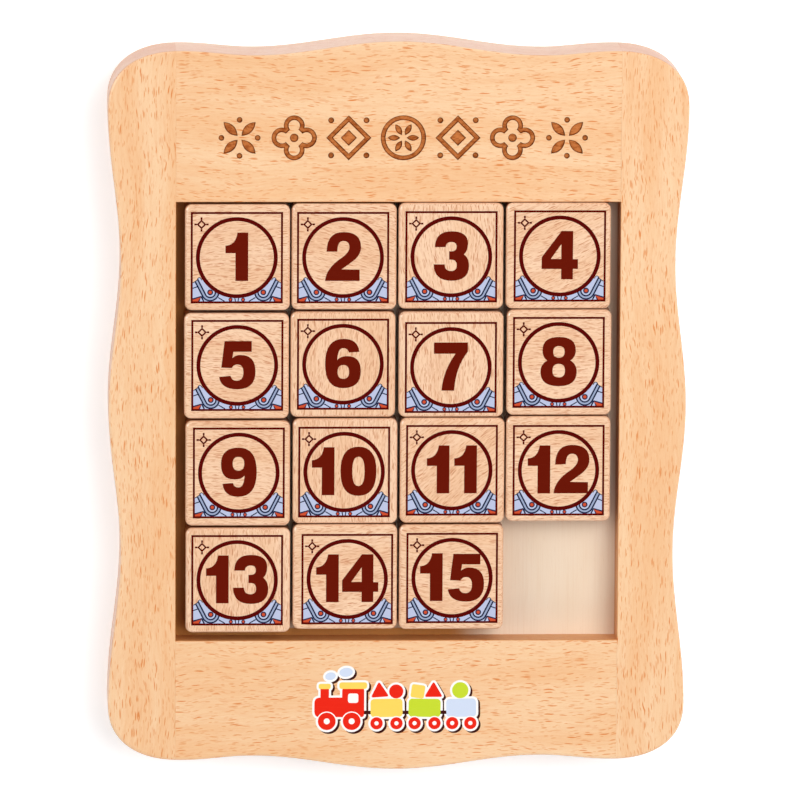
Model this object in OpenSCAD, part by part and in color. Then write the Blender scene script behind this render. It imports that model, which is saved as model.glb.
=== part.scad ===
// A 4 by 4 sliding tile puzzle: fifteen loose wooden tiles in a wooden tray.
// The tray is a frame of two stiles and two rails, doweled at the corners,
// around a plywood floor that sits in a groove.
// Origin: middle of the outline, on the back. +Y is the top of the puzzle, +Z its face.

/* [Frame] */
// Width across the corner lobes
frame_w = 162; // [160:1:168]
// Height from the bottom crest to the top crest
frame_h = 206; // [204:1:216]
// Thickness of the stiles and rails
frame_t = 22; // [18:0.5:24]
// How far the waists of a side lie inside its corner lobes
waist_dip = 3.5; // [1:0.1:4.5]
// How far the middle bulge of a side lies inside its corner lobes
bulge_dip = 0.2; // [0:0.1:2]
// How far the hollows of an end lie below its middle crest
hollow_dip = 3.9; // [1:0.1:5]
// How far the corner lobes of an end lie below its middle crest
lobe_dip = 2.7; // [1:0.1:4]

/* [Tray] */
// Width of the pocket that holds the tiles
pocket_w = 124; // [123:0.5:126]
// Height of the pocket
pocket_h = 124; // [123.5:0.5:126]
// Middle of the pocket above the middle of the outline
pocket_y = -4.1; // [-6:0.1:-3]
// Depth of the pocket below the face
pocket_depth = 9; // [7:0.5:10]
// Thickness of the plywood floor
floor_t = 3; // [2:0.5:4]
// How far the floor reaches into its groove
floor_tongue = 5; // [3:0.5:6]
// Room left for the floor at the bottom of its groove
groove_spare = 0.5; // [0.2:0.1:1]

/* [Tiles] */
// Width of a tile
tile_w = 29.3; // [28:0.1:29.4]
// Height of a tile
tile_h = 29.8; // [28:0.1:29.8]
// Thickness of a tile
tile_t = 10; // [8:0.5:12]
// Radius of a tile's edges
tile_edge_r = 1.6; // [0.5:0.1:2.5]
// Distance between columns
column_pitch = 30; // [30:0.1:30.4]
// Distance between rows
row_pitch = 30.35; // [30.35:0.05:30.6]
// Gap between the first row and the top wall
top_gap = 0.3; // [0.3:0.1:0.9]

/* [Dowels] */
// Diameter of a dowel
dowel_d = 6; // [5:0.5:7]
// Length of a dowel
dowel_l = 26; // [20:1:26]
// Radial room between a dowel and its hole
dowel_play = 0.05; // [0.02:0.01:0.1]
// Chamfer on the ends of a dowel
dowel_chamfer = 0.8; // [0.4:0.1:1.2]

/* [Engraving] */
// Height of the engraved ornaments
motif_h = 12.6; // [10:0.2:14]
// Distance between the ornaments
motif_pitch = 15.2; // [15:0.1:15.6]
// Middle of the row of ornaments to the right of the middle of the outline
motif_x = 1.2; // [-3:0.1:3]
// Middle of the ornaments above the middle of the outline
motif_y = 76; // [74:0.5:82]
// Depth of the engraving
motif_depth = 0.6; // [0.3:0.1:1]

/* [Hidden] */
TILES = [for (n = [1:15]) n];
SIDES = ["left", "right"];
ENDS = ["top", "bottom"];
PLACES = ["outer", "inner"];

function tile_name(n) = str("tile_", n < 10 ? "0" : "", n);
function dowel_name(end, side, place) = str("dowel_", end, "_", side, "_", place);

cut = 1;                    // overrun of every cutting shape
lobe_y = 84.3;              // height of the corner lobes on a side
waist_y = 40.7;             // height of the waists on a side
lobe_x = 60.4;              // distance of the corner lobes along an end
hollow_x = 40.5;            // distance of the hollows along an end
corner_power = 2.3;         // 2 is an ellipse, higher is squarer
wave_steps = 8;             // straight runs per half wave
corner_steps = 8;           // straight runs per corner
edge_steps = 3;             // straight runs round a tile's edge

floor_top = frame_t - pocket_depth;
floor_bottom = floor_top - floor_t;
groove_depth = floor_tongue + groove_spare;
pocket_top = pocket_y + pocket_h / 2;
pocket_bottom = pocket_y - pocket_h / 2;

dowel_z = frame_t / 2;
dowel_hole_l = dowel_l + 2;
top_dowels = [88.5, 68.5];      // heights of the outer and inner dowels of the top rail
bottom_dowels = [-90.5, -78.5]; // the same for the bottom rail

// Small shifts of each tile within its play, as a hand leaves them
TILE_SHIFTS = [
    [0.1, -0.2], [-0.2, 0], [-0.4, 0.2], [-0.4, 0.2],
    [-0.1, -0.4], [-0.4, 0], [-0.2, 0], [0, 0.5],
    [0.3, -0.4], [0.3, 0.2], [0.3, 0.3], [0, 0.7],
    [0.4, -0.4], [0.4, 0.5], [0.2, 0.4]
];

// ---- outline ----

// A smooth step from a to b as t goes from 0 to 1, level at both ends
function ease(a, b, t) = a + (b - a) * (1 - cos(180 * t)) / 2;

// Points from one crest or hollow to the next, given as [position, height] pairs
function wave(keys, steps) = [
    for (k = [0 : len(keys) - 2])
        for (s = [0 : steps - 1])
            let (t = s / steps)
            [
                keys[k][0] + (keys[k + 1][0] - keys[k][0]) * t,
                ease(keys[k][1], keys[k + 1][1], t)
            ]
];

side_lobe = frame_w / 2;
side_keys = [
    [-lobe_y, side_lobe],
    [-waist_y, side_lobe - waist_dip],
    [0, side_lobe - bulge_dip],
    [waist_y, side_lobe - waist_dip],
    [lobe_y, side_lobe]
];

end_crest = frame_h / 2;
end_keys = [
    [lobe_x, end_crest - lobe_dip],
    [hollow_x, end_crest - hollow_dip],
    [0, end_crest],
    [-hollow_x, end_crest - hollow_dip],
    [-lobe_x, end_crest - lobe_dip]
];

// A corner from the side lobe (a = 0) round to the end lobe (a = 90)
function corner_point(a) = [
    lobe_x + (side_lobe - lobe_x) * pow(cos(a), 2 / corner_power),
    lobe_y + (end_crest - lobe_dip - lobe_y) * pow(sin(a), 2 / corner_power)
];
corner = [for (s = [0 : corner_steps - 1]) corner_point(90 * s / corner_steps)];
far_corner = [
    for (s = [corner_steps : -1 : 1])
        let (p = corner_point(90 * s / corner_steps))
        [-p[0], p[1]]
];

// The right side, a corner, the top end and the other corner: half of the outline,
// which looks the same turned half way round
half_outline = concat(
    [for (p = wave(side_keys, wave_steps)) [p[1], p[0]]],
    corner,
    wave(end_keys, wave_steps),
    far_corner
);
other_half = [for (p = half_outline) -p];

module outline() {
    polygon(concat(half_outline, other_half));
}

// ---- frame ----

// The groove round the pocket that holds the floor
module floor_groove() {
    translate([0, pocket_y, floor_bottom + floor_t / 2])
        cube([pocket_w + 2 * groove_depth, pocket_h + 2 * groove_depth, floor_t], center = true);
}

// Both dowel holes of one corner; side is -1 or 1
module dowel_holes(side, heights) {
    for (y = heights)
        translate([side * pocket_w / 2, y, dowel_z])
            rotate([0, 90, 0])
                cylinder(h = dowel_hole_l, d = dowel_d + 2 * dowel_play, center = true, $fn = 48);
}

// A full height side member; side is -1 or 1
module stile(side) {
    difference() {
        intersection() {
            linear_extrude(frame_t) outline();
            translate([side > 0 ? pocket_w / 2 : -frame_w, -frame_h, -cut])
                cube([frame_w - pocket_w / 2, 2 * frame_h, frame_t + 2 * cut]);
        }
        floor_groove();
        dowel_holes(side, top_dowels);
        dowel_holes(side, bottom_dowels);
    }
}

// A member between the stiles, from the pocket's wall out to the wavy end
module rail(low, high, heights) {
    difference() {
        intersection() {
            linear_extrude(frame_t) outline();
            translate([-pocket_w / 2, low, -cut])
                cube([pocket_w, high - low, frame_t + 2 * cut]);
        }
        floor_groove();
        dowel_holes(-1, heights);
        dowel_holes(1, heights);
    }
}

module left_stile() {
    color("burlywood") stile(-1);
}

module right_stile() {
    color("burlywood") stile(1);
}

module top_rail() {
    color("burlywood")
        difference() {
            rail(pocket_top, frame_h, top_dowels);
            ornament_row();
        }
}

module bottom_rail() {
    color("burlywood") rail(-frame_h, pocket_bottom, bottom_dowels);
}

module floor_panel() {
    color("wheat")
        translate([0, pocket_y, floor_bottom + floor_t / 2])
            cube([pocket_w + 2 * floor_tongue, pocket_h + 2 * floor_tongue, floor_t], center = true);
}

// ---- engraved ornaments ----

stroke = motif_h * 0.105;   // width of the engraved lines
dot_r = stroke * 0.62;      // radius of the dots round an ornament

// A pointed leaf along +X, from start
module leaf(length, width, start) {
    r = (length * length + width * width) / (4 * width);
    translate([start + length / 2, 0])
        intersection_for(s = [-1, 1])
            translate([0, s * (r - width / 2)]) circle(r = r, $fn = 96);
}

// Four dots on the corners of a square, or on its sides when tilt is 0
module dots(reach, tilt = 0) {
    for (a = [tilt : 90 : tilt + 270])
        rotate(a) translate([reach, 0]) circle(r = dot_r, $fn = 24);
}

// A ring with six petals
module rosette() {
    difference() {
        circle(d = motif_h, $fn = 48);
        circle(d = motif_h - 2 * stroke, $fn = 48);
    }
    for (a = [0 : 60 : 300])
        rotate(a) leaf(motif_h * 0.28, motif_h * 0.13, motif_h * 0.07);
}

// A lozenge ring round a lozenge stud, with a dot off each side
module lozenge() {
    rotate(45)
        difference() {
            square(motif_h / sqrt(2), center = true);
            square(motif_h / sqrt(2) - 2 * stroke, center = true);
        }
    rotate(45) square(motif_h * 0.255, center = true);
    dots(motif_h * 0.55, 45);
}

// A ring of four round lobes with a dot in the middle
module quatrefoil() {
    reach = motif_h * 0.27;
    lobe_r = motif_h / 2 - reach;
    difference() {
        for (a = [0 : 90 : 270]) rotate(a) translate([reach, 0]) circle(lobe_r, $fn = 40);
        for (a = [0 : 90 : 270]) rotate(a) translate([reach, 0]) circle(lobe_r - stroke, $fn = 40);
        rotate(45) square(reach * sqrt(2), center = true);
    }
    circle(r = stroke * 0.9, $fn = 24);
}

// Four slanting leaves with a dot between each two
module leaf_cross() {
    for (a = [45 : 90 : 315])
        rotate(a) leaf(motif_h * 0.44, motif_h * 0.19, motif_h * 0.06);
    dots(motif_h * 0.4);
}

module ornament(kind) {
    if (kind == 0) rosette();
    if (kind == 1) lozenge();
    if (kind == 2) quatrefoil();
    if (kind == 3) leaf_cross();
}

// Seven ornaments, the same outwards from the rosette in the middle
module ornament_row() {
    for (k = [-3 : 3])
        translate([motif_x + k * motif_pitch, motif_y, frame_t - motif_depth])
            linear_extrude(motif_depth + cut) ornament(abs(k));
}

// ---- dowels ----

// A dowel along X with chamfered ends; side is -1 or 1
module dowel(side, height) {
    half = dowel_l / 2;
    r = dowel_d / 2;
    color("tan")
        translate([side * pocket_w / 2, height, dowel_z])
            rotate([0, 90, 0])
                rotate_extrude($fn = 48)
                    polygon([
                        [0, -half],
                        [r - dowel_chamfer, -half],
                        [r, -half + dowel_chamfer],
                        [r, half - dowel_chamfer],
                        [r - dowel_chamfer, half],
                        [0, half]
                    ]);
}

// ---- tiles ----

// A rectangle about the origin with rounded corners
function rounded(w, h, r) = [
    for (q = [0 : 3])
        let (
            sx = (q == 0 || q == 3) ? 1 : -1,
            sy = q < 2 ? 1 : -1
        )
        for (s = [0 : edge_steps])
            let (a = 90 * (q + s / edge_steps))
            [sx * (w / 2 - r) + r * cos(a), sy * (h / 2 - r) + r * sin(a)]
];

function column(n) = (n - 1) % 4;
function row(n) = floor((n - 1) / 4);
function tile_place(n) = [
    (column(n) - 1.5) * column_pitch + TILE_SHIFTS[n - 1][0],
    pocket_top - top_gap - tile_h / 2 - row(n) * row_pitch + TILE_SHIFTS[n - 1][1],
    floor_top + tile_t / 2
];

module tile(n) {
    face = rounded(tile_w, tile_h, tile_edge_r);
    side = rounded(tile_w, tile_t, tile_edge_r);
    end = rounded(tile_h, tile_t, tile_edge_r);
    color("burlywood")
        translate(tile_place(n))
            intersection() {
                linear_extrude(tile_t, center = true) polygon(face);
                rotate([90, 0, 0]) linear_extrude(tile_h, center = true) polygon(side);
                rotate([90, 0, 90]) linear_extrude(tile_w, center = true) polygon(end);
            }
}

left_stile();
right_stile();
top_rail();
bottom_rail();
floor_panel();
for (i = [0, 1])
    for (j = [0, 1])
        for (k = [0, 1])
            dowel(j * 2 - 1, (i == 0 ? top_dowels : bottom_dowels)[k]);
for (n = TILES)
    tile(n);
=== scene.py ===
import math

import bpy
import numpy as np
from mathutils import Matrix, Vector
from mathutils.geometry import delaunay_2d_cdt

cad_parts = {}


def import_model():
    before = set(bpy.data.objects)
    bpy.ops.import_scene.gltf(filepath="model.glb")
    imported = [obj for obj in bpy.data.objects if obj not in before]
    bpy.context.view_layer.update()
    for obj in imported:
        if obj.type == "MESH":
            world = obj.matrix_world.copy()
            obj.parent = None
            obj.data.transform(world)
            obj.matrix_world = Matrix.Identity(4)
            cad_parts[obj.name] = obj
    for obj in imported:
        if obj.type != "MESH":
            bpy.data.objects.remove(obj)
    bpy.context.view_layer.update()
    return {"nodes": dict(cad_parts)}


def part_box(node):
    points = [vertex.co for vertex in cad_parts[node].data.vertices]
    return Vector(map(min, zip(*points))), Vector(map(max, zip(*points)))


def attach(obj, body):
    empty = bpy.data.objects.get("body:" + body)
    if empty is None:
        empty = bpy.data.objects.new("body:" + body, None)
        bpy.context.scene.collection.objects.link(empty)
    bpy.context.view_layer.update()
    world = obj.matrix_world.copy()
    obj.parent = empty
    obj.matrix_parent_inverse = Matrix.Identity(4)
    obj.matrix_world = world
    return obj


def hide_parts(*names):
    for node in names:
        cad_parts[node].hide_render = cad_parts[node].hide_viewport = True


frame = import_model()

# A wooden sliding tile puzzle. Lengths in this script are in millimetres, in the CAD's
# frame: origin on the back, +Y towards the engraved rail, +Z out of the face.

M = 0.001                     # metres in a millimetre


def node_box(name):
    low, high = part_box(name)
    return [c / M for c in low], [c / M for c in high]


# ---- sizes

STILE_LOW, STILE_HIGH = node_box("right_stile")
TOP_LOW, TOP_HIGH = node_box("top_rail")

POCKET_X = STILE_LOW[0]       # the pocket's side walls, and the seams in line with them
POCKET_TOP = TOP_LOW[1]
POCKET_BOTTOM = node_box("bottom_rail")[1][1]
FACE_Z = STILE_HIGH[2]

SIDE_LOBE = STILE_HIGH[0]     # the outline, by the same rule as the CAD's
END_CREST = TOP_HIGH[1]
WAIST_DIP, BULGE_DIP = 3.5, 0.2       # how far each lies inside the sides' corner lobes
HOLLOW_DIP, LOBE_DIP = 3.9, 2.7       # how far each lies below the ends' middle crests
LOBE_Y, WAIST_Y = 84.3, 40.7          # places along the sides
LOBE_X, HOLLOW_X = 60.4, 40.5         # places along the ends
CORNER_POWER = 2.3                    # 2 would make the corners elliptical

WAVE_STEPS, CORNER_STEPS = 24, 20     # of the outline, for each wave and corner
BEND_STEPS, CURVE_STEPS = 5, 8        # of a print, for each rounded corner and curve
ROUND_STEPS = 6                       # across each rounded edge

OUTER_ROUND = 0.9             # radius of the frame's outer edges
POCKET_ROUND = 0.45           # radius of the pocket's edge
SEAM_ROUND = 0.04             # the seams are sanded flush
FRAME_BACK_SHARE = 0.7        # the edges at the back are rounded this much of those at the face
TILE_BACK_SHARE = 0.9

TILE_ROUND = 1.0              # radius round a tile's face
TILE_CORNER = 1.9             # radius of a tile's corners in plan
INK_LINE = 0.58               # width of the printed square's line
INK_SQUARE = 25.7             # outer side of the printed square
RING_R, RING_STROKE = 11.4, 1.1
DIGIT_H = 13.6
DIGIT_RISE = 0.25             # the numbers stand a little above the ring's middle

MOTIF_H = 12.6                # engraved ornaments, as in the CAD
MOTIF_PITCH = 15.2
MOTIF_X, MOTIF_Y = 1.2, 76.0
MOTIF_DEPTH = 0.6


# ---- flat shapes

def ellipse(x, y, rx, ry=None, steps=64):
    ry = rx if ry is None else ry
    turns = [2 * math.pi * k / steps for k in range(steps)]
    return [(x + rx * math.cos(a), y + ry * math.sin(a)) for a in turns]


def rectangle(x0, y0, x1, y1):
    return [(x0, y0), (x1, y0), (x1, y1), (x0, y1)]


def centred(width, height):
    return rectangle(-width / 2, -height / 2, width / 2, height / 2)


def moved(points, dx, dy, scale=1.0, turn=0.0):
    """The points scaled and turned about the origin, then moved."""
    c, s = math.cos(turn) * scale, math.sin(turn) * scale
    return [(dx + c * x - s * y, dy + s * x + c * y) for x, y in points]


def mirrored(points):
    return [(-x, y) for x, y in reversed(points)]


def band(points, width):
    """A polyline as a band of even width with square ends."""
    left, right = [], []
    for i, (x, y) in enumerate(points):
        a = points[max(i - 1, 0)]
        b = points[min(i + 1, len(points) - 1)]
        dx, dy = b[0] - a[0], b[1] - a[1]
        n = math.hypot(dx, dy)
        ox, oy = -dy / n * width / 2, dx / n * width / 2
        left.append((x + ox, y + oy))
        right.append((x - ox, y - oy))
    return left + right[::-1]


def rounded_polygon(corners, radius):
    """A convex polygon, counter-clockwise, with its corners rounded by quadratic curves."""
    out = []
    for i, p in enumerate(corners):
        before, after = corners[i - 1], corners[(i + 1) % len(corners)]
        ends = []
        for q in (before, after):
            d = math.hypot(q[0] - p[0], q[1] - p[1])
            t = min(radius / d, 0.45)
            ends.append((p[0] + (q[0] - p[0]) * t, p[1] + (q[1] - p[1]) * t))
        out += quadratic(ends[0], p, ends[1], BEND_STEPS)
    return out


def quadratic(a, control, b, steps):
    """Points of a quadratic curve from a to b, both ends included."""
    out = []
    for k in range(steps + 1):
        t = k / steps
        out.append(tuple(
            (1 - t) ** 2 * a[i] + 2 * t * (1 - t) * control[i] + t * t * b[i] for i in (0, 1)
        ))
    return out


def outline_of(path):
    """A closed outline from a list of points; a point marked "c" is a curve's control point."""
    out = []
    n = len(path)
    for i, p in enumerate(path):
        if len(p) == 3:
            a, b = path[i - 1], path[(i + 1) % n]
            out += quadratic(a[:2], p[:2], b[:2], CURVE_STEPS)[1:-1]
        else:
            out.append(p[:2])
    return out


class Shape:
    """An area: inside any of adds, in none of subs, and inside all of within."""

    def __init__(self, material, adds, subs=(), within=(), drop=0.0):
        self.material, self.drop = material, drop
        self.adds, self.subs, self.within = list(adds), list(subs), list(within)

    def contours(self):
        return self.adds + self.subs + self.within

    def holds(self, at):
        found = np.zeros(len(at), bool)
        for c in self.adds:
            found |= point_in(c, at)
        for c in self.subs:
            found &= ~point_in(c, at)
        for c in self.within:
            found &= point_in(c, at)
        return found

    def changed(self, change):
        """The same area, each of its contours changed by a function."""
        lists = ([change(c) for c in part] for part in (self.adds, self.subs, self.within))
        return Shape(self.material, *lists, self.drop)


def point_in(contour, at):
    """For each point of at, whether the closed contour goes round it."""
    c = np.array(contour)
    d = np.roll(c, -1, axis=0)
    x, y = at[:, 0:1], at[:, 1:2]
    spans = (c[:, 1] > y) != (d[:, 1] > y)
    rise = np.where(d[:, 1] == c[:, 1], 1.0, d[:, 1] - c[:, 1])
    crossing = c[:, 0] + (y - c[:, 1]) / rise * (d[:, 0] - c[:, 0])
    return (spans & (x < crossing)).sum(axis=1) % 2 == 1


# ---- solids

class Solid:
    """Collects faces with their own corner normals and material, and makes one closed mesh."""

    def __init__(self, materials):
        self.materials = materials
        self.verts, self.index = [], {}      # index finds a vertex by its place, rounded
        self.faces, self.face_materials, self.normals = [], [], []

    def vertex(self, p):
        key = tuple(round(c * 1e4) for c in p)
        if key not in self.index:
            self.index[key] = len(self.verts)
            self.verts.append(p)
        return self.index[key]

    def face(self, points, material=0, normals=None):
        ids = [self.vertex(p) for p in points]
        keep = [k for k in range(len(ids)) if ids[k] != ids[k - 1]]
        if len(keep) < 3 or len({ids[k] for k in keep}) < len(keep):
            return
        if normals is None:
            a, b, c = (Vector(points[keep[k]]) for k in (0, 1, 2))
            flat = (b - a).cross(c - a).normalized()
            normals = [flat] * len(points)
        self.faces.append([ids[k] for k in keep])
        self.face_materials.append(material)
        self.normals += [tuple(normals[k]) for k in keep]

    def cap(self, contour, z, shapes=(), up=True):
        """A flat face inside contour, divided by the shapes; one with a drop is sunk, with walls."""
        points, edges = [], []
        for c in [contour] + [c for s in shapes for c in s.contours()]:
            first = len(points)
            points += [Vector(p) for p in c]
            edges += [(first + k, first + (k + 1) % len(c)) for k in range(len(c))]
        verts, _, tris, _, _, _ = delaunay_2d_cdt(points, edges, [], 0, 1e-5)
        xy = np.array([tuple(v) for v in verts])
        tris = np.array(tris)
        centres = xy[tris].mean(axis=1)
        kept = point_in(contour, centres)
        tris, centres = tris[kept], centres[kept]
        material = np.zeros(len(tris), int)
        level = np.full(len(tris), float(z))
        for s in shapes:
            found = s.holds(centres)
            material[found] = s.material
            level[found] = z - s.drop
        sides = {}
        normal = Vector((0, 0, 1 if up else -1))
        for t, tri in enumerate(tris):
            a, b, c = (xy[k] for k in tri)
            if (b[0] - a[0]) * (c[1] - a[1]) - (b[1] - a[1]) * (c[0] - a[0]) < 0:
                tri = tri[::-1]
            for k in range(3):
                sides.setdefault(tuple(sorted((tri[k], tri[k - 1]))), []).append((t, tri[k - 1], tri[k]))
            corners = [(*xy[k], level[t]) for k in (tri if up else tri[::-1])]
            self.face(corners, int(material[t]), [normal] * 3)
        for pair in sides.values():
            if len(pair) == 2 and level[pair[0][0]] != level[pair[1][0]]:
                low, high = sorted(pair, key=lambda side: level[side[0]])
                a, b = xy[low[1]], xy[low[2]]
                z_low, z_high = level[low[0]], level[high[0]]
                self.face(
                    [(*a, z_low), (*a, z_high), (*b, z_high), (*b, z_low)],
                    int(material[low[0]]) + 1,
                )

    def finish(self, name, body, node, slot, grain):
        """Makes the piece. grain is its board's direction in degrees and its place on the board."""
        mesh = bpy.data.meshes.new(name)
        mesh.from_pydata([[c * M for c in v] for v in self.verts], [], self.faces)
        for m in self.materials:
            mesh.materials.append(m)
        mesh.polygons.foreach_set("material_index", self.face_materials)
        mesh.polygons.foreach_set("use_smooth", [True] * len(self.faces))
        attribute = mesh.attributes.new("grain", "FLOAT_VECTOR", "POINT")
        attribute.data.foreach_set("vector", grain_of(self.verts, *grain))
        attribute = mesh.attributes.new("grain_axis", "FLOAT_VECTOR", "POINT")
        axis = (math.cos(math.radians(grain[0])), math.sin(math.radians(grain[0])), 0.0)
        attribute.data.foreach_set("vector", axis * len(self.verts))
        mesh.update()
        mesh.normals_split_custom_set(self.normals)
        piece = bpy.data.objects.new(name, mesh)
        bpy.context.scene.collection.objects.link(piece)
        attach(piece, body)
        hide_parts(node)


def grain_of(verts, degrees, offset):
    """Each vertex's place in the board it was cut from, in metres: along, across and deep."""
    v = np.array(verts) * M
    a = math.radians(degrees)
    along = v[:, 0] * math.cos(a) + v[:, 1] * math.sin(a)
    across = -v[:, 0] * math.sin(a) + v[:, 1] * math.cos(a)
    return (np.stack([along, across, v[:, 2]], axis=1) + np.array(offset)).ravel()


def edge_normals(points):
    """The outward normal of each side of a counter-clockwise contour."""
    ends = points[1:] + points[:1]
    return [Vector((q[1] - p[1], p[0] - q[0])).normalized() for p, q in zip(points, ends)]


def grown(contour, d):
    """A counter-clockwise contour moved outwards by d."""
    n = len(contour)
    normals = edge_normals(contour)
    out = []
    for i in range(n):
        na, nb = normals[i - 1], normals[i]
        m = na + nb
        m = m / max(m.dot(m) / 2, 0.5)
        out.append((contour[i][0] + m.x * d, contour[i][1] + m.y * d))
    return out


def slab(solid, points, rounds, z0, z1, back_share, shapes=()):
    """A board with this counter-clockwise outline. rounds gives the edge radius of each side of
    the outline at the face; at the back it is back_share of that."""
    n = len(points)
    normals = edge_normals(points)
    inward, vertex_round, smooth = [], [], []
    for i in range(n):
        na, nb = normals[i - 1], normals[i]
        ra, rb = rounds[i - 1], rounds[i]
        turn = na.x * nb.y - na.y * nb.x
        if abs(turn) < 0.3:
            middle = (na + nb).normalized()
            inward.append(-middle * (ra + rb) / 2)
            vertex_round.append((ra + rb) / 2)
            smooth.append(middle)
        else:
            inward.append(Vector((
                (-ra * nb.y + rb * na.y) / turn,
                (-rb * na.x + ra * nb.x) / turn,
            )))
            vertex_round.append(max(ra, rb))
            smooth.append(None)

    def ring(i, angle, top):
        """Vertex i's corner of the ring at that angle round the edge, from the wall at 0."""
        share = 1.0 if top else back_share
        inset = (1 - math.cos(angle)) * share
        x = points[i][0] + inward[i].x * inset
        y = points[i][1] + inward[i].y * inset
        height = vertex_round[i] * share * (1 - math.sin(angle))
        return (x, y, z1 - height if top else z0 + height)

    def normal(i, side, angle, top):
        out = smooth[i] if smooth[i] is not None else normals[side]
        lift = math.sin(angle) * (1 if top else -1)
        return Vector((out.x * math.cos(angle), out.y * math.cos(angle), lift))

    angles = [math.pi / 2 * k / ROUND_STEPS for k in range(ROUND_STEPS + 1)]
    rows = [(a, False) for a in reversed(angles)] + [(a, True) for a in angles]
    for (a0, top0), (a1, top1) in zip(rows, rows[1:]):
        for i in range(n):
            j = (i + 1) % n
            solid.face(
                [ring(i, a0, top0), ring(j, a0, top0), ring(j, a1, top1), ring(i, a1, top1)],
                0,
                [normal(i, i, a0, top0), normal(j, i, a0, top0),
                 normal(j, i, a1, top1), normal(i, i, a1, top1)],
            )
    solid.cap([ring(i, math.pi / 2, True)[:2] for i in range(n)], z1, shapes)
    solid.cap([ring(i, math.pi / 2, False)[:2] for i in range(n)], z0, up=False)


# ---- materials

def linear(r, g, b):
    """A colour as it looks on screen, 0 to 255, as the light it stands for."""
    return tuple(
        c / 12.92 if c <= 0.04045 else ((c + 0.055) / 1.055) ** 2.4
        for c in (r / 255, g / 255, b / 255)
    ) + (1.0,)


def set_range(node, low, high, to_low, to_high):
    for key, number in zip(("From Min", "From Max", "To Min", "To Max"), (low, high, to_low, to_high)):
        node.inputs[key].default_value = number


class Nodes:
    """A material's node tree, with short calls for the nodes used here."""

    def __init__(self, name):
        self.material = bpy.data.materials.new(name)
        self.material.use_nodes = True
        self.tree = self.material.node_tree
        self.tree.nodes.clear()
        self.shader = self.new("ShaderNodeBsdfPrincipled")
        output = self.new("ShaderNodeOutputMaterial")
        self.link(self.shader.outputs["BSDF"], output.inputs["Surface"])

    def new(self, kind, **settings):
        node = self.tree.nodes.new(kind)
        for key, value in settings.items():
            setattr(node, key, value)
        return node

    def link(self, source, target):
        if isinstance(source, bpy.types.NodeSocket):
            self.tree.links.new(source, target)
        else:
            target.default_value = source

    def math(self, operation, a, b=0.0):
        node = self.new("ShaderNodeMath", operation=operation)
        self.link(a, node.inputs[0])
        self.link(b, node.inputs[1])
        return node.outputs[0]

    def smooth(self, value, low, high, to_low=0.0, to_high=1.0):
        """to_low where value is low, to_high where it is high, and a soft step between them."""
        node = self.new("ShaderNodeMapRange", interpolation_type="SMOOTHSTEP")
        self.link(value, node.inputs["Value"])
        set_range(node, low, high, to_low, to_high)
        return node.outputs[0]

    def mix(self, factor, a, b, blend="MIX"):
        node = self.new("ShaderNodeMix", data_type="RGBA", blend_type=blend)
        self.link(factor, node.inputs["Factor"])
        self.link(a, node.inputs[6])          # the sockets for colours, 6, 7 and 2
        self.link(b, node.inputs[7])
        return node.outputs[2]

    def scaled(self, vector, x, y, z, shift=(0, 0, 0)):
        node = self.new("ShaderNodeMapping")
        self.link(vector, node.inputs["Vector"])
        node.inputs["Scale"].default_value = (x, y, z)
        node.inputs["Location"].default_value = shift
        return node.outputs[0]

    def noise(self, vector, detail=2.0, roughness=0.5):
        node = self.new("ShaderNodeTexNoise")
        self.link(vector, node.inputs["Vector"])
        for key, number in (("Scale", 1.0), ("Detail", detail), ("Roughness", roughness)):
            node.inputs[key].default_value = number
        return node.outputs["Fac"]

    def bump(self, height, strength, distance):
        node = self.new("ShaderNodeBump")
        node.inputs["Strength"].default_value = strength
        node.inputs["Distance"].default_value = distance
        self.link(height, node.inputs["Height"])
        self.link(node.outputs[0], self.shader.inputs["Normal"])

    def attribute(self, name):
        return self.new("ShaderNodeAttribute", attribute_name=name).outputs["Vector"]

    def finish(self, colour, roughness, **numbers):
        """Feeds the shader. The numbers are the same all over: coat_weight is "Coat Weight"."""
        self.link(colour, self.shader.inputs["Base Color"])
        self.link(roughness, self.shader.inputs["Roughness"])
        for key, number in numbers.items():
            socket = key.replace("_", " ").title().replace("Ior", "IOR")
            self.shader.inputs[socket].default_value = number
        return self.material


def board_vector(n):
    """The board coordinates of a piece, gently wavy, in millimetres: along, across, deep."""
    mm = n.scaled(n.attribute("grain"), 1 / M, 1 / M, 1 / M)
    wander = n.noise(n.scaled(mm, 0.02, 0.03, 0.03), detail=1.0)
    sway = n.noise(n.scaled(mm, 0.16, 0.16, 0.16), detail=1.0)
    shift = n.math("ADD", n.math("MULTIPLY", wander, 7.0), n.math("MULTIPLY", sway, 1.5))
    parts = n.new("ShaderNodeSeparateXYZ")
    n.link(mm, parts.inputs[0])
    joined = n.new("ShaderNodeCombineXYZ")
    n.link(parts.outputs[0], joined.inputs[0])
    n.link(n.math("ADD", parts.outputs[1], shift), joined.inputs[1])
    n.link(parts.outputs[2], joined.inputs[2])
    return joined.outputs[0]


def flecks(n, board, length, width, reach, shift):
    """Short dashes along the grain, one in each cell of length by width by width. reach is about
    half a dash's size, as a share of its cell, and shift moves the cells."""
    cells = n.new("ShaderNodeTexVoronoi", voronoi_dimensions="3D", feature="F1")
    n.link(n.scaled(board, 1 / length, 1 / width, 1 / width, shift), cells.inputs["Vector"])
    cells.inputs["Scale"].default_value = 1.0
    parts = n.new("ShaderNodeSeparateColor")
    n.link(cells.outputs["Color"], parts.inputs[0])
    size = n.math("MULTIPLY", n.math("ADD", n.math("MULTIPLY", parts.outputs[1], 0.5), 0.75), reach)
    near = n.math("DIVIDE", cells.outputs["Distance"], size)
    dash = n.smooth(near, 1.0, 0.6)
    return n.math("MULTIPLY", dash, n.smooth(parts.outputs[0], 0.0, 0.8, 0.3, 1.0))


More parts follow.
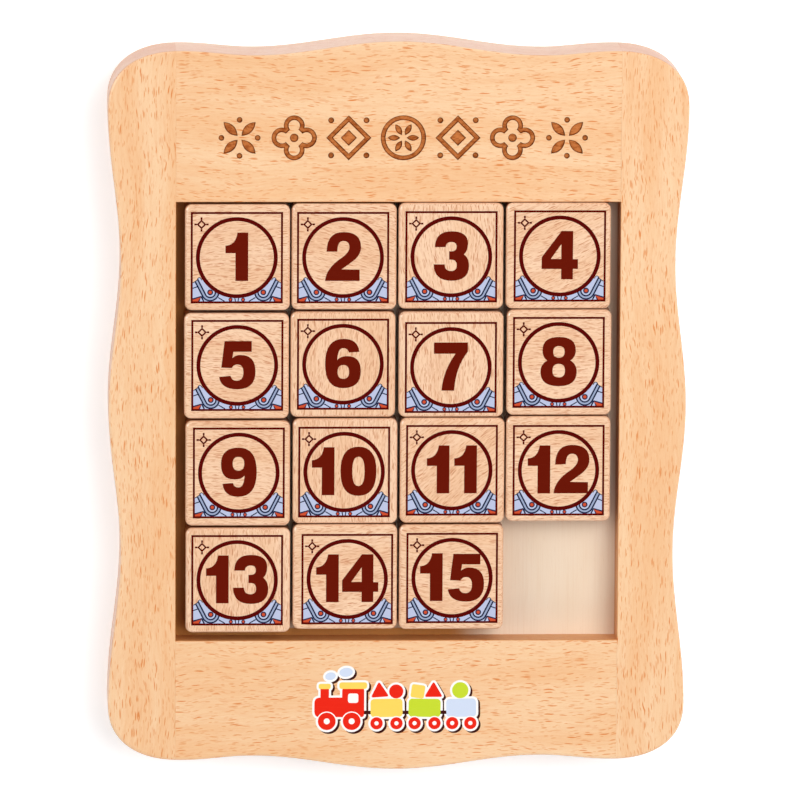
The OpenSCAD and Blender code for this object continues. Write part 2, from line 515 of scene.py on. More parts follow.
def end_grain(n):
    """1 on a face cut across the grain, 0 along it."""
    dot = n.new("ShaderNodeVectorMath", operation="DOT_PRODUCT")
    n.link(n.attribute("grain_axis"), dot.inputs[0])
    n.link(n.new("ShaderNodeNewGeometry").outputs["Normal"], dot.inputs[1])
    return n.math("POWER", n.math("ABSOLUTE", dot.outputs["Value"]), 3.0)


POCKET_HALF = (POCKET_TOP - POCKET_BOTTOM) / 2
POCKET_MIDDLE = (POCKET_TOP + POCKET_BOTTOM) / 2
TILE_TOP = node_box("tile_01")[1][2]
PAINTED_WALL_SHADE = (0.80, 0.56, 0.32, 1)     # painted shade on the pocket's inner walls: how much darker, in each channel
# painted shade on the tiles' sides below the rounded edge, in each channel
PAINTED_TILE_SIDE_SHADE = (0.5, 0.25, 0.11, 1)
PAINTED_SIDE_SHADE = (0.74, 0.71, 0.85, 1)    # painted shade and sheen: the frame's outer sides are tinted darker and cooler than its face
PAINTED_GAP_SHADE = (0.70, 0.36, 0.12, 1)         # painted shade on the sheet in the gaps along the pocket's walls
GAP_SHADE_SHIFT = 1.6                     # the painted shade is wider on the left by twice this
GAP_SHADE_END = (27.0, 15.0)              # where the painted shade along the bottom wall starts, from the right
LACQUER_IOR = 1.7


def place_mm(n):
    """The place on the object, from its own coordinates, in millimetres."""
    return n.scaled(n.new("ShaderNodeTexCoord").outputs["Object"], 1 / M, 1 / M, 1 / M)


def frame_sides(n, colour):
    """Painted shade: darker wood on the pocket's inner walls, and a darker, cooler tint on the frame's
    outer sides for their shade and sheen.
    """
    place = n.new("ShaderNodeSeparateXYZ")
    n.link(place_mm(n), place.inputs[0])
    across = n.math("ABSOLUTE", place.outputs["X"])
    along = n.math("ABSOLUTE", n.math("SUBTRACT", place.outputs["Y"], POCKET_MIDDLE))
    far = n.math("MAXIMUM", across, along)
    # painted shade on the pocket's inner walls
    painted_shade = n.smooth(far, POCKET_HALF + 0.25, POCKET_HALF + 0.08)
    colour = n.mix(painted_shade, colour, PAINTED_WALL_SHADE, "MULTIPLY")
    # painted shade and sheen on the outer sides, chosen by the way each face points
    facing = n.new("ShaderNodeSeparateXYZ")
    n.link(n.new("ShaderNodeNewGeometry").outputs["Normal"], facing.inputs[0])
    upright = n.smooth(n.math("ABSOLUTE", facing.outputs["Z"]), 0.7, 0.25)
    outside = n.smooth(far, POCKET_HALF + 3.0, POCKET_HALF + 6.0)
    return n.mix(n.math("MULTIPLY", upright, outside), colour, PAINTED_SIDE_SHADE, "MULTIPLY")


def tile_sides(n, colour):
    """Painted shade: darker wood below the tile's rounded edge, for the shade in the gaps between tiles.
    """
    place = n.new("ShaderNodeSeparateXYZ")
    n.link(place_mm(n), place.inputs[0])
    painted_shade = n.smooth(place.outputs["Z"], TILE_TOP - 0.55, TILE_TOP - 1.8)
    return n.mix(painted_shade, colour, PAINTED_TILE_SIDE_SHADE, "MULTIPLY")


def beech(name, light, warm, fleck, streak_strength, fleck_strength, fleck_size, coat, gloss, sides):
    """Lacquered beech: faint bands, fine streaks and the short flecks of the wood's rays.
    fleck_size is a fleck's cell along and across the grain, in millimetres, and its reach."""
    n = Nodes(name)
    light, warm, fleck = linear(*light), linear(*warm), linear(*fleck)
    board = board_vector(n)
    bands = n.noise(n.scaled(board, 0.012, 0.12, 0.12), detail=3.0, roughness=0.6)
    streaks = n.noise(n.scaled(board, 0.16, 1.9, 1.9), detail=4.0, roughness=0.68)
    fibres = n.noise(n.scaled(board, 0.9, 7.0, 7.0), detail=2.0, roughness=0.6)
    colour = n.mix(n.smooth(bands, 0.36, 0.64), light, warm)
    colour = n.mix(n.smooth(streaks, 0.44, 0.72, 0.0, streak_strength), colour, fleck)
    colour = n.mix(n.smooth(fibres, 0.5, 0.78, 0.0, streak_strength * 0.8), colour, fleck)
    colour = n.mix(n.smooth(streaks, 0.42, 0.2, 0.0, 0.5), colour, linear(255, 224, 190))
    length, width, reach = fleck_size
    big = flecks(n, board, length, width, reach, (0, 0, 0))
    small = flecks(n, board, length * 0.6, width * 0.85, reach * 0.89, (31.3, 17.7, 5.1))
    marks = n.math("MAXIMUM", big, n.math("MULTIPLY", small, 0.8))
    colour = n.mix(n.math("MULTIPLY", marks, fleck_strength), colour, fleck)
    colour = n.mix(n.math("MULTIPLY", end_grain(n), 0.3), colour, fleck)
    relief = n.math("SUBTRACT", n.math("MULTIPLY", streaks, 0.5), n.math("MULTIPLY", marks, 0.6))
    n.bump(relief, 0.3, 0.00006)
    # sides(n, colour) adds the painted shade of the sides
    return n.finish(
        sides(n, colour), n.smooth(streaks, 0.2, 0.8, 0.44, 0.58),
        specular_ior_level=0.25, coat_weight=coat, coat_roughness=gloss, coat_ior=LACQUER_IOR,
    )


def ink(name, colour, thin, spread=0.14):
    """Printed ink on wood: the grain below shows faintly through it."""
    n = Nodes(name)
    board = board_vector(n)
    streaks = n.noise(n.scaled(board, 0.12, 2.6, 2.6), detail=3.0, roughness=0.6)
    specks = n.noise(n.scaled(board, 4.0, 4.0, 4.0), detail=2.0)
    fade = n.math(
        "ADD",
        n.smooth(streaks, 0.45, 0.8, 0.0, spread),
        n.smooth(specks, 0.62, 0.85, 0.0, spread),
    )
    colour = n.mix(fade, linear(*colour), linear(*thin))
    n.bump(streaks, 0.2, 0.00004)
    return n.finish(colour, n.smooth(streaks, 0.2, 0.8, 0.46, 0.58), specular_ior_level=0.04)


def burnt(name, light, dark):
    """The engraving's burnt floor, and its rim and walls, which are darker by painted shade."""
    n = Nodes(name)
    board = board_vector(n)
    scorch = n.noise(n.scaled(board, 0.5, 1.1, 1.0), detail=4.0, roughness=0.65)
    streaks = n.noise(n.scaled(board, 0.2, 4.0, 4.0), detail=2.0)
    colour = n.mix(n.smooth(scorch, 0.38, 0.68), linear(*light), linear(*dark))
    colour = n.mix(n.smooth(streaks, 0.5, 0.8, 0.0, 0.5), colour, linear(*dark))
    n.bump(n.math("ADD", scorch, streaks), 0.5, 0.0001)
    return n.finish(colour, n.smooth(scorch, 0.2, 0.8, 0.6, 0.8), specular_ior_level=0.06)


def plywood(name):
    """The pale sheet under the tiles, its fibres along Y, from the object's own coordinates."""
    n = Nodes(name)
    mm = place_mm(n)
    fibres = n.noise(n.scaled(mm, 2.4, 0.05, 0.4), detail=3.0, roughness=0.6)
    cloud = n.noise(n.scaled(mm, 0.06, 0.02, 0.06), detail=2.0)
    pores = n.noise(n.scaled(mm, 5.0, 0.35, 5.0), detail=1.0)
    colour = n.mix(n.smooth(cloud, 0.3, 0.7), linear(240, 223, 202), linear(235, 215, 190))
    colour = n.mix(n.smooth(fibres, 0.45, 0.75, 0.0, 0.3), colour, linear(226, 198, 168))
    colour = n.mix(n.smooth(pores, 0.66, 0.8, 0.0, 0.25), colour, linear(206, 170, 134))
    # Painted shade: the sheet darkens in the gaps along the pocket's side walls and along part of its
    # bottom wall.
    place = n.new("ShaderNodeSeparateXYZ")
    n.link(mm, place.inputs[0])
    sides = n.math("ABSOLUTE", n.math("SUBTRACT", place.outputs["X"], GAP_SHADE_SHIFT))
    sides = n.smooth(sides, POCKET_HALF - 2.1, POCKET_HALF - 1.5)
    below = n.math("SUBTRACT", POCKET_MIDDLE, place.outputs["Y"])
    below = n.smooth(below, POCKET_HALF - 2.3, POCKET_HALF - 1.7)
    below = n.math("MULTIPLY", below, n.smooth(place.outputs["X"], *GAP_SHADE_END))
    colour = n.mix(n.math("MAXIMUM", sides, below), colour, PAINTED_GAP_SHADE, "MULTIPLY")
    n.bump(n.math("ADD", fibres, pores), 0.25, 0.00008)
    return n.finish(colour, n.smooth(fibres, 0.2, 0.8, 0.62, 0.75))


def dowel_wood(name):
    """Turned beech, its grain along X, from the object's own coordinates."""
    n = Nodes(name)
    mm = place_mm(n)
    streaks = n.noise(n.scaled(mm, 0.15, 2.2, 2.2), detail=3.0, roughness=0.6)
    colour = n.mix(n.smooth(streaks, 0.35, 0.7), linear(226, 176, 128), linear(190, 132, 84))
    n.bump(streaks, 0.3, 0.0001)
    return n.finish(colour, n.smooth(streaks, 0.2, 0.8, 0.6, 0.75))


FRAME_WOOD = beech(
    "frame_beech", (244, 205, 163), (240, 192, 145), (222, 130, 56),
    0.20, 1.0, (5.2, 0.50, 0.29), 0.35, 0.3, frame_sides,
)
TILE_WOOD = beech(
    "tile_beech", (248, 210, 176), (242, 198, 160), (200, 126, 84),
    0.40, 0.85, (3.6, 0.38, 0.36), 0.9, 0.2, tile_sides,
)
ENGRAVED = burnt("engraved_floor", (208, 126, 68), (160, 80, 34))
# The rim and the walls of the engraving are darker by painted shade.
SHADED_RIM = burnt("engraved_rim", (150, 74, 26), (104, 44, 12))
ENGRAVED_WALL = burnt("engraved_wall", (132, 62, 20), (86, 34, 8))
PLYWOOD = plywood("plywood")
DOWEL_WOOD = dowel_wood("dowel_beech")


# ---- frame

def ease(a, b, t):
    """From a to b by half a cosine wave."""
    return a + (b - a) * (1 - math.cos(math.pi * t)) / 2


def wave(keys):
    """Points from one crest or hollow to the next, as (position, height), with the last key."""
    out = []
    for (p0, h0), (p1, h1) in zip(keys, keys[1:]):
        steps = [k / WAVE_STEPS for k in range(WAVE_STEPS)]
        out += [(p0 + (p1 - p0) * t, ease(h0, h1, t)) for t in steps]
    return out + [keys[-1]]


LOBE_END_Y = END_CREST - LOBE_DIP
SEAM_END_Y = LOBE_Y + (LOBE_END_Y - LOBE_Y) * (
    1 - ((POCKET_X - LOBE_X) / (SIDE_LOBE - LOBE_X)) ** CORNER_POWER
) ** (1 / CORNER_POWER)


def corner_point(angle):
    """A point of the upper right corner's superellipse."""
    return (
        LOBE_X + (SIDE_LOBE - LOBE_X) * math.cos(angle) ** (2 / CORNER_POWER),
        LOBE_Y + (LOBE_END_Y - LOBE_Y) * math.sin(angle) ** (2 / CORNER_POWER),
    )


def stile_outline():
    """The right stile's outline, counter-clockwise, and the edge radius along each side of it."""
    side = [(x, y) for y, x in wave([
        (-LOBE_Y, SIDE_LOBE),
        (-WAIST_Y, SIDE_LOBE - WAIST_DIP),
        (0, SIDE_LOBE - BULGE_DIP),
        (WAIST_Y, SIDE_LOBE - WAIST_DIP),
        (LOBE_Y, SIDE_LOBE),
    ])]
    seam_angle = math.acos(((POCKET_X - LOBE_X) / (SIDE_LOBE - LOBE_X)) ** (CORNER_POWER / 2))
    corner = [corner_point(seam_angle * k / CORNER_STEPS) for k in range(1, CORNER_STEPS + 1)]
    low_corner = [(x, -y) for x, y in reversed(corner)]
    outer = low_corner + side + corner
    seam = [(POCKET_X, y) for y in (
        SEAM_END_Y - 2 * OUTER_ROUND,
        POCKET_TOP + POCKET_ROUND,
        POCKET_TOP - POCKET_ROUND,
        POCKET_BOTTOM + POCKET_ROUND,
        POCKET_BOTTOM - POCKET_ROUND,
        -SEAM_END_Y + 2 * OUTER_ROUND,
    )]
    rounds = [OUTER_ROUND] * (len(outer) - 1)
    rounds += [SEAM_ROUND] * 3 + [POCKET_ROUND] + [SEAM_ROUND] * 3
    return outer + seam, rounds


def rail_outline(pocket_y):
    """The top rail's outline for a pocket wall at pocket_y, and its edge radii."""
    crest = [(x, y) for x, y in wave([
        (LOBE_X, LOBE_END_Y),
        (HOLLOW_X, END_CREST - HOLLOW_DIP),
        (0, END_CREST),
        (-HOLLOW_X, END_CREST - HOLLOW_DIP),
        (-LOBE_X, LOBE_END_Y),
    ])]
    below = SEAM_END_Y - 2 * OUTER_ROUND
    points = [(-POCKET_X, pocket_y), (POCKET_X, pocket_y)]
    points += [(POCKET_X, below), (POCKET_X, SEAM_END_Y)]
    points += crest + [(-POCKET_X, SEAM_END_Y), (-POCKET_X, below)]
    rounds = [POCKET_ROUND, SEAM_ROUND, SEAM_ROUND]
    rounds += [OUTER_ROUND] * (len(crest) + 1) + [SEAM_ROUND] * 2
    return points, rounds


def mirrored_outline(points, rounds, flip):
    """The outline mirrored left to right or top to bottom, still counter-clockwise."""
    turned = [flip(p) for p in reversed(points)]
    count = len(points)
    return turned, [rounds[(count - 2 - k) % count] for k in range(count)]


# ---- engraved ornaments

STROKE = MOTIF_H * 0.105
RIM_SHADE_WIDTH = 0.24                 # width of the rim of painted shade in the engraving


def petal(length, width, start):
    """A leaf along +X, from start, as a closed curve."""
    return outline_of([
        (start, 0), (start + length / 2, -width, "c"),
        (start + length, 0), (start + length / 2, width, "c"),
    ])


def lozenge(half):
    return [(half, 0), (0, half), (-half, 0), (0, -half)]


def motif_rosette():
    ring = [ellipse(0, 0, MOTIF_H / 2)], [ellipse(0, 0, MOTIF_H / 2 - STROKE)]
    petals = [
        moved(petal(MOTIF_H * 0.28, MOTIF_H * 0.13, MOTIF_H * 0.07), 0, 0, 1, math.radians(a))
        for a in range(0, 360, 60)
    ]
    return [ring, (petals, [])]


def motif_lozenge():
    half = MOTIF_H / 2
    dots = [
        ellipse(half * 0.78 * sx, half * 0.78 * sy, STROKE * 0.62, steps=24)
        for sx in (-1, 1) for sy in (-1, 1)
    ]
    outline = [lozenge(half)], [lozenge(half - STROKE * 1.42)]
    return [outline, ([lozenge(half * 0.36)], []), (dots, [])]


def motif_quatrefoil():
    reach = MOTIF_H * 0.27
    lobe = MOTIF_H / 2 - reach
    places = [(reach, 0), (0, reach), (-reach, 0), (0, -reach)]
    outer = [ellipse(x, y, lobe, steps=40) for x, y in places]
    inner = [ellipse(x, y, lobe - STROKE, steps=40) for x, y in places]
    dot = ellipse(0, 0, STROKE * 0.9, steps=24)
    return [(outer, inner + [lozenge(reach * 1.02)]), ([dot], [])]


def motif_leaves():
    leaf = petal(MOTIF_H * 0.44, MOTIF_H * 0.19, MOTIF_H * 0.06)
    leaves = [moved(leaf, 0, 0, 1, math.radians(a)) for a in (45, 135, 225, 315)]
    dots = [
        moved(ellipse(MOTIF_H * 0.40, 0, STROKE * 0.6, steps=24), 0, 0, 1, math.radians(a))
        for a in (0, 90, 180, 270)
    ]
    return [(leaves, []), (dots, [])]


MOTIFS = (motif_rosette, motif_lozenge, motif_quatrefoil, motif_leaves)


def ornament_shapes(material):
    """Seven ornaments, the same outwards from the rosette in the middle. Each has a rim of painted shade,
    of the material after this one, and walls darkened by painted shade, of the one after that."""
    shapes = []
    for k in range(-3, 4):
        x = MOTIF_X + k * MOTIF_PITCH
        for adds, subs in MOTIFS[abs(k)]():
            for tone, inset in ((material + 1, 0.0), (material, RIM_SHADE_WIDTH)):
                shapes.append(Shape(
                    tone,
                    [moved(grown(c, -inset), x, MOTIF_Y) for c in adds],
                    [moved(grown(c, inset), x, MOTIF_Y) for c in subs],
                    drop=MOTIF_DEPTH,
                ))
    return shapes


def frame_member(name, outline, materials, grain, shapes=()):
    """A stile or rail. outline is its points and their edge radii."""
    solid = Solid(materials)
    slab(solid, *outline, 0.0, FACE_Z, FRAME_BACK_SHARE, shapes)
    solid.finish(name, "tray", name, "beech_frame", grain)


stile = stile_outline()
frame_member("right_stile", stile, [FRAME_WOOD], (91.0, (0.31, 0.12, 0)))
left = mirrored_outline(*stile, lambda p: (-p[0], p[1]))
frame_member("left_stile", left, [FRAME_WOOD], (88.5, (0.90, 0.47, 0)))
frame_member(
    "top_rail", rail_outline(POCKET_TOP), [FRAME_WOOD, ENGRAVED, SHADED_RIM, ENGRAVED_WALL],
    (-1.0, (0.05, 0.73, 0)), ornament_shapes(1),
)


# ---- numbers

def oval(xs, ys):
    """A path of four curves, from the low, middle and high places in x and in y."""
    (x0, x, x1), (y0, y, y1) = xs, ys
    return [
        (x0, y), (x0, y1, "c"), (x, y1), (x1, y1, "c"),
        (x1, y), (x1, y0, "c"), (x, y0), (x0, y0, "c"),
    ]


# Paths of the digits, cap height 100, each as (areas, holes)
DIGITS = {
    "0": ([oval((0, 37, 74), (-1.4, 50, 101))], [oval((24.4, 37, 49.6), (19, 50, 80))]),
    "1": ([[(46.6, 0), (46.6, 100), (24.5, 100), (21, 74, "c"), (0, 73), (0, 57.5),
            (20.5, 57.5), (20.5, 0)]], []),
    "2": ([[(0, 0), (71, 0), (71, 23.3), (34, 23.9), (44, 31, "c"), (56, 40), (73.6, 53, "c"), (73.6, 70),
            (73.6, 101, "c"), (37.5, 101), (3.5, 101, "c"), (3, 60.6), (25, 60.6), (25, 82.5, "c"),
            (37.5, 82.5), (49.7, 82.5, "c"), (49.7, 69), (49.7, 60, "c"), (35, 48.5), (2, 27, "c")]], []),
    "3": ([[(2.5, 68.3), (3, 101, "c"), (36.3, 101), (70.3, 101, "c"), (70.3, 76.3), (70.3, 60, "c"),
            (62, 53.3), (72.6, 46, "c"), (72.6, 29.2), (72.6, -1.4, "c"), (36.3, -1.4), (1, -1.4, "c"),
            (0, 32.6), (22.5, 32.6), (23, 18.9, "c"), (35.9, 18.9), (47.4, 18.9, "c"), (47.4, 30.6),
            (47.4, 42.3, "c"), (35.9, 42.3), (31.7, 42.3), (31.7, 59.5), (36.3, 59.5), (46.9, 59.5, "c"),
            (46.9, 69.2), (46.9, 78.8, "c"), (36.3, 78.8), (25, 78.8, "c"), (24.8, 68.3)]], []),
    "4": ([[(40.7, 100), (0, 45.7), (0, 21.4), (40.2, 21.4), (40.2, 0), (64.4, 0), (64.4, 21.4),
            (74.7, 21.4), (74.7, 41.6), (64.4, 41.6), (64.4, 100)]],
          [[(40.2, 72.5), (40.2, 42.1), (18.9, 42.1)]]),
    "5": ([[(11.2, 98.7), (4.5, 43.5), (26.2, 42.8), (30, 50, "c"), (37.6, 50), (49.8, 50, "c"),
            (49.8, 34), (49.8, 16.5, "c"), (36.4, 16.5), (26, 16.5, "c"), (23.6, 26.8), (0, 24.3),
            (4, -1.4, "c"), (37.5, -1.4), (74.8, -1.4, "c"), (74.8, 35.5), (74.8, 70, "c"),
            (44, 70), (35, 70, "c"), (27.4, 64), (29.4, 76.5), (67, 76.5), (67, 98.7)]], []),
    "6": ([[(70.5, 74), (67, 101, "c"), (37.9, 101), (0, 101, "c"), (0, 49), (0, -1.4, "c"), (37, -1.4),
            (73.6, -1.4, "c"), (73.6, 33.5), (73.6, 65, "c"), (45.7, 65), (31, 65, "c"), (25.2, 57),
            (26, 81.5, "c"), (37.3, 81.5), (46.5, 81.5, "c"), (48.8, 72.4)]],
          [oval((25.8, 37.6, 49.4), (18, 32.3, 46.5))]),
    "7": ([[(0, 100), (0, 76.7), (44.4, 76.7), (19, 41, "c"), (15.8, 0), (41.9, 0), (45, 49, "c"),
            (69.8, 80.9), (69.8, 100)]], []),
    "8": ([[(38, 101), (3.9, 101, "c"), (3.9, 73.5), (3.9, 58.5, "c"), (14, 52.2), (0, 44.5, "c"),
            (0, 28.5), (0, -1.4, "c"), (37.6, -1.4), (74.7, -1.4, "c"), (74.7, 28.5), (74.7, 44.5, "c"),
            (61.5, 52.2), (72.4, 58.5, "c"), (72.4, 73.5), (72.4, 101, "c")]],
          [oval((26.2, 37.8, 49.4), (58, 70, 82)), oval((24.8, 37.6, 50.4), (16.8, 30.8, 45))]),
}
# The 9 is the 6 turned by half a turn
SIX_W, SIX_H = 73.6, 99.6
DIGITS["9"] = tuple(
    [[(SIX_W - p[0], SIX_H - p[1], *p[2:]) for p in path] for path in part] for part in DIGITS["6"]
)
DIGIT_W = {
    digit: max(p[0] for path in areas for p in path) for digit, (areas, holes) in DIGITS.items()
}
# Room left of a number's second digit
LEFT_ROOM = {"0": 12.3, "1": 10.0, "2": 7.0, "3": 9.0, "4": 7.0, "5": 10.8}


def number_shape(number, material):
    """The number's outlines, centred on the tile's print."""
    text = str(number)
    starts, x = [], 0.0
    for k, digit in enumerate(text):
        x += LEFT_ROOM[digit] if k else 0.0
        starts.append(x)
        x += DIGIT_W[digit]
    unit = DIGIT_H / 100
    adds, subs = [], []
    for digit, start in zip(text, starts):
        areas, holes = DIGITS[digit]
        for paths, into in ((areas, adds), (holes, subs)):
            into += [
                moved(outline_of(p), (start - x / 2) * unit, DIGIT_RISE - DIGIT_H / 2, unit)
                for p in paths
            ]
    return Shape(material, adds, subs)


# ---- tile print

DIGIT, LINE, BLUE, GREY, SLATE, ORANGE = range(1, 7)
TILE_MATERIALS = [
    TILE_WOOD,
    ink("digit_ink", (100, 19, 4), (124, 38, 16)),
    ink("line_ink", (84, 5, 3), (108, 22, 12)),
    ink("blue_ink", (184, 192, 220), (202, 206, 220)),
    ink("grey_ink", (152, 164, 194), (174, 182, 202)),
    ink("slate_ink", (28, 36, 66), (58, 68, 98)),
    ink("orange_ink", (200, 76, 44), (216, 106, 72)),
]
INK_INNER = INK_SQUARE / 2 - INK_LINE
BOSS = (-7.4, -9.75)          # the rivet in a lower corner, outside the ring
STRAP_LEAN = math.radians(117)
STRAP_L = 8.0
STRAP_OUTER, STRAP_INNER = 2.35, 1.45     # radii of the strap's end and of the line inside it
RIVETS = ((*BOSS, 0.82), (-1.75, -11.8, 0.56))
LINE_W = 0.42
FINE_LINE_W = 0.3
MARK = (-9.85, 9.35)          # the sign in the upper left corner


def strap_side(r):
    """A line down one side of the strap, round the rivet at radius r, and up the other."""
    along = (math.cos(STRAP_LEAN) * STRAP_L, math.sin(STRAP_LEAN) * STRAP_L)
    turn = [
        (BOSS[0] + r * math.cos(STRAP_LEAN + a), BOSS[1] + r * math.sin(STRAP_LEAN + a))
        for a in [math.pi / 2 + math.pi * k / 20 for k in range(21)]
    ]
    first = (turn[0][0] + along[0], turn[0][1] + along[1])
    last = (turn[-1][0] + along[0], turn[-1][1] + along[1])
    return [first] + turn + [last]


def corner_print():
    """The left lower corner: a riveted strap over blue plates, and an orange wedge."""
    window = [rectangle(-INK_INNER, -INK_INNER, INK_INNER, 0)]
    disc = [ellipse(0, 0, RING_R - 0.2)]      # the art reaches a little under the ring
    crest = [
        (-INK_INNER, -7.0), (-11.15, -6.25), (-10.95, -5.75),
        (-10.45, -5.45), (-9.95, -5.7), (-9.6, -6.3),
    ]
    field = crest + [(-6.0, -6.3), (0, -9.0), (0, -INK_INNER), (-INK_INNER, -INK_INNER)]
    below = window + [field[::-1]]
    shapes = [Shape(BLUE, [field[::-1]], disc, window)]

    def lines(*paths, width=LINE_W):
        for path in paths:
            shapes.append(Shape(SLATE, [band(path, width)], disc, below))

    lines([(-INK_INNER, -8.6), (-9.4, -7.6)], [(-5.2, -11.2), (-3.4, -INK_INNER)], width=FINE_LINE_W)
    shapes.append(Shape(GREY, [strap_side(STRAP_OUTER)], disc, below))
    shapes.append(Shape(BLUE, [strap_side(STRAP_INNER)], disc, below))
    lines(strap_side(STRAP_OUTER), strap_side(STRAP_INNER))
    lines(crest)
    wedge = [(-INK_INNER, -INK_INNER), (-10.6, -INK_INNER), (-9.9, -10.9), (-INK_INNER, -11.6)]
    shapes.append(Shape(ORANGE, [wedge], [], window))
    lines([(-INK_INNER, -11.6), (-9.9, -10.9), (-10.6, -INK_INNER)], [(-9.9, -10.9), (-9.2, -INK_INNER)])
    for x, y, r in RIVETS:
        shapes.append(Shape(SLATE, [ellipse(x, y, r, steps=28)], disc, window))
        shapes.append(Shape(ORANGE, [ellipse(x, y, r * 0.58, steps=28)], disc, window))
    lines([(-0.6, -11.0), (-0.35, -INK_INNER)], width=FINE_LINE_W)
    return shapes


def small_mark():
    """The little sign in the upper left corner: a lozenge with four rays."""
    rim = Shape(LINE, [moved(lozenge(1.35), *MARK)], [moved(lozenge(0.72), *MARK)])
    ray = band([(1.3, 0), (2.0, 0)], 0.5)
    return [rim, Shape(LINE, [moved(ray, *MARK, 1, math.radians(a)) for a in (0, 90, 180, 270)])]


CORNER_PRINT = corner_print()
PRINT_BASE = CORNER_PRINT + [s.changed(mirrored) for s in CORNER_PRINT] + small_mark() + [
    Shape(LINE, [ellipse(0, 0, RING_R, steps=96)], [ellipse(0, 0, RING_R - RING_STROKE, steps=96)]),
    Shape(LINE, [centred(INK_SQUARE, INK_SQUARE)], [centred(2 * INK_INNER, 2 * INK_INNER)]),
]


# ---- tiles

# Direction of the grain on each tile's face, in degrees from the rows
TILE_GRAIN = {
    1: 2, 2: -8, 3: 92, 4: 20, 5: -5, 6: 88, 7: 92, 8: 4,
    9: -2, 10: 90, 11: 38, 12: 2, 13: 91, 14: 5, 15: -3,
}
# How far each tile's print lies off the middle of the tile, as the printing jig left it
PRINT_SHIFT = {
    1: (-0.2, 0), 2: (-0.3, -0.2), 3: (0.1, -0.2), 4: (0.4, 0), 5: (0.2, 0.2),
    6: (0, 0.1), 7: (-0.05, -0.85), 8: (-0.1, 0.05), 9: (0.3, 0.15), 10: (-0.25, -0.25),
    11: (-0.1, 0.1), 12: (0.1, -0.35), 13: (-0.2, 0.05), 14: (0.65, -0.6), 15: (0.25, -0.25),
}
CORNER_RUNS = 8               # steps round each corner of a tile
BOARD_STEP = (0.173, 0.091)   # metres along and across the board from one tile to the next


def rounded_square(cx, cy, half_w, half_h, r):
    out = []
    for quarter in range(4):
        sx = 1 if quarter in (0, 3) else -1
        sy = 1 if quarter < 2 else -1
        for k in range(CORNER_RUNS + 1):
            a = math.pi / 2 * (quarter + k / CORNER_RUNS)
            x = cx + sx * (half_w - r) + r * math.cos(a)
            y = cy + sy * (half_h - r) + r * math.sin(a)
            out.append((x, y))
    return out


def tile(number):
    """A tile, its grain, its number and its print."""
    name = f"tile_{number:02d}"
    low, high = node_box(name)
    cx, cy = (low[0] + high[0]) / 2, (low[1] + high[1]) / 2
    outline = rounded_square(cx, cy, (high[0] - low[0]) / 2, (high[1] - low[1]) / 2, TILE_CORNER)
    x, y = cx + PRINT_SHIFT[number][0], cy + PRINT_SHIFT[number][1]
    printed = PRINT_BASE + [number_shape(number, DIGIT)]
    shapes = [s.changed(lambda c: moved(c, x, y)) for s in printed]
    solid = Solid(TILE_MATERIALS)
    slab(solid, outline, [TILE_ROUND] * len(outline), low[2], high[2], TILE_BACK_SHARE, shapes)
    offset = (BOARD_STEP[0] * number, BOARD_STEP[1] * number, 0.0)
    solid.finish(name, name, name, "beech_tile", (TILE_GRAIN[number], offset))


for number in range(1, 16):
    tile(number)


# ---- badge on the bottom rail

RED, YELLOW, GREEN, PALE, WHITE, SHADOW = range(1, 7)
BADGE_INKS = [
    ink("red_ink", (232, 40, 24), (240, 84, 58), 0.08),
    ink("yellow_ink", (252, 212, 96), (252, 222, 140), 0.08),
    ink("green_ink", (196, 216, 52), (212, 224, 110), 0.08),
    ink("pale_ink", (206, 218, 240), (220, 226, 238), 0.08),
    ink("white_ink", (250, 246, 244), (250, 238, 226), 0.08),
    ink("shadow_ink", (62, 24, 22), (96, 48, 40), 0.08),
]
BADGE_X, BADGE_Y = -0.9, -84.6
OUTLINE_W = 0.6               # white round every part
SHADOW_SHIFT = (0.55, -0.5)
WHEEL_GAP = 0.3


def block(w, h, r=0.7):
    return rounded_polygon(centred(w, h), r)


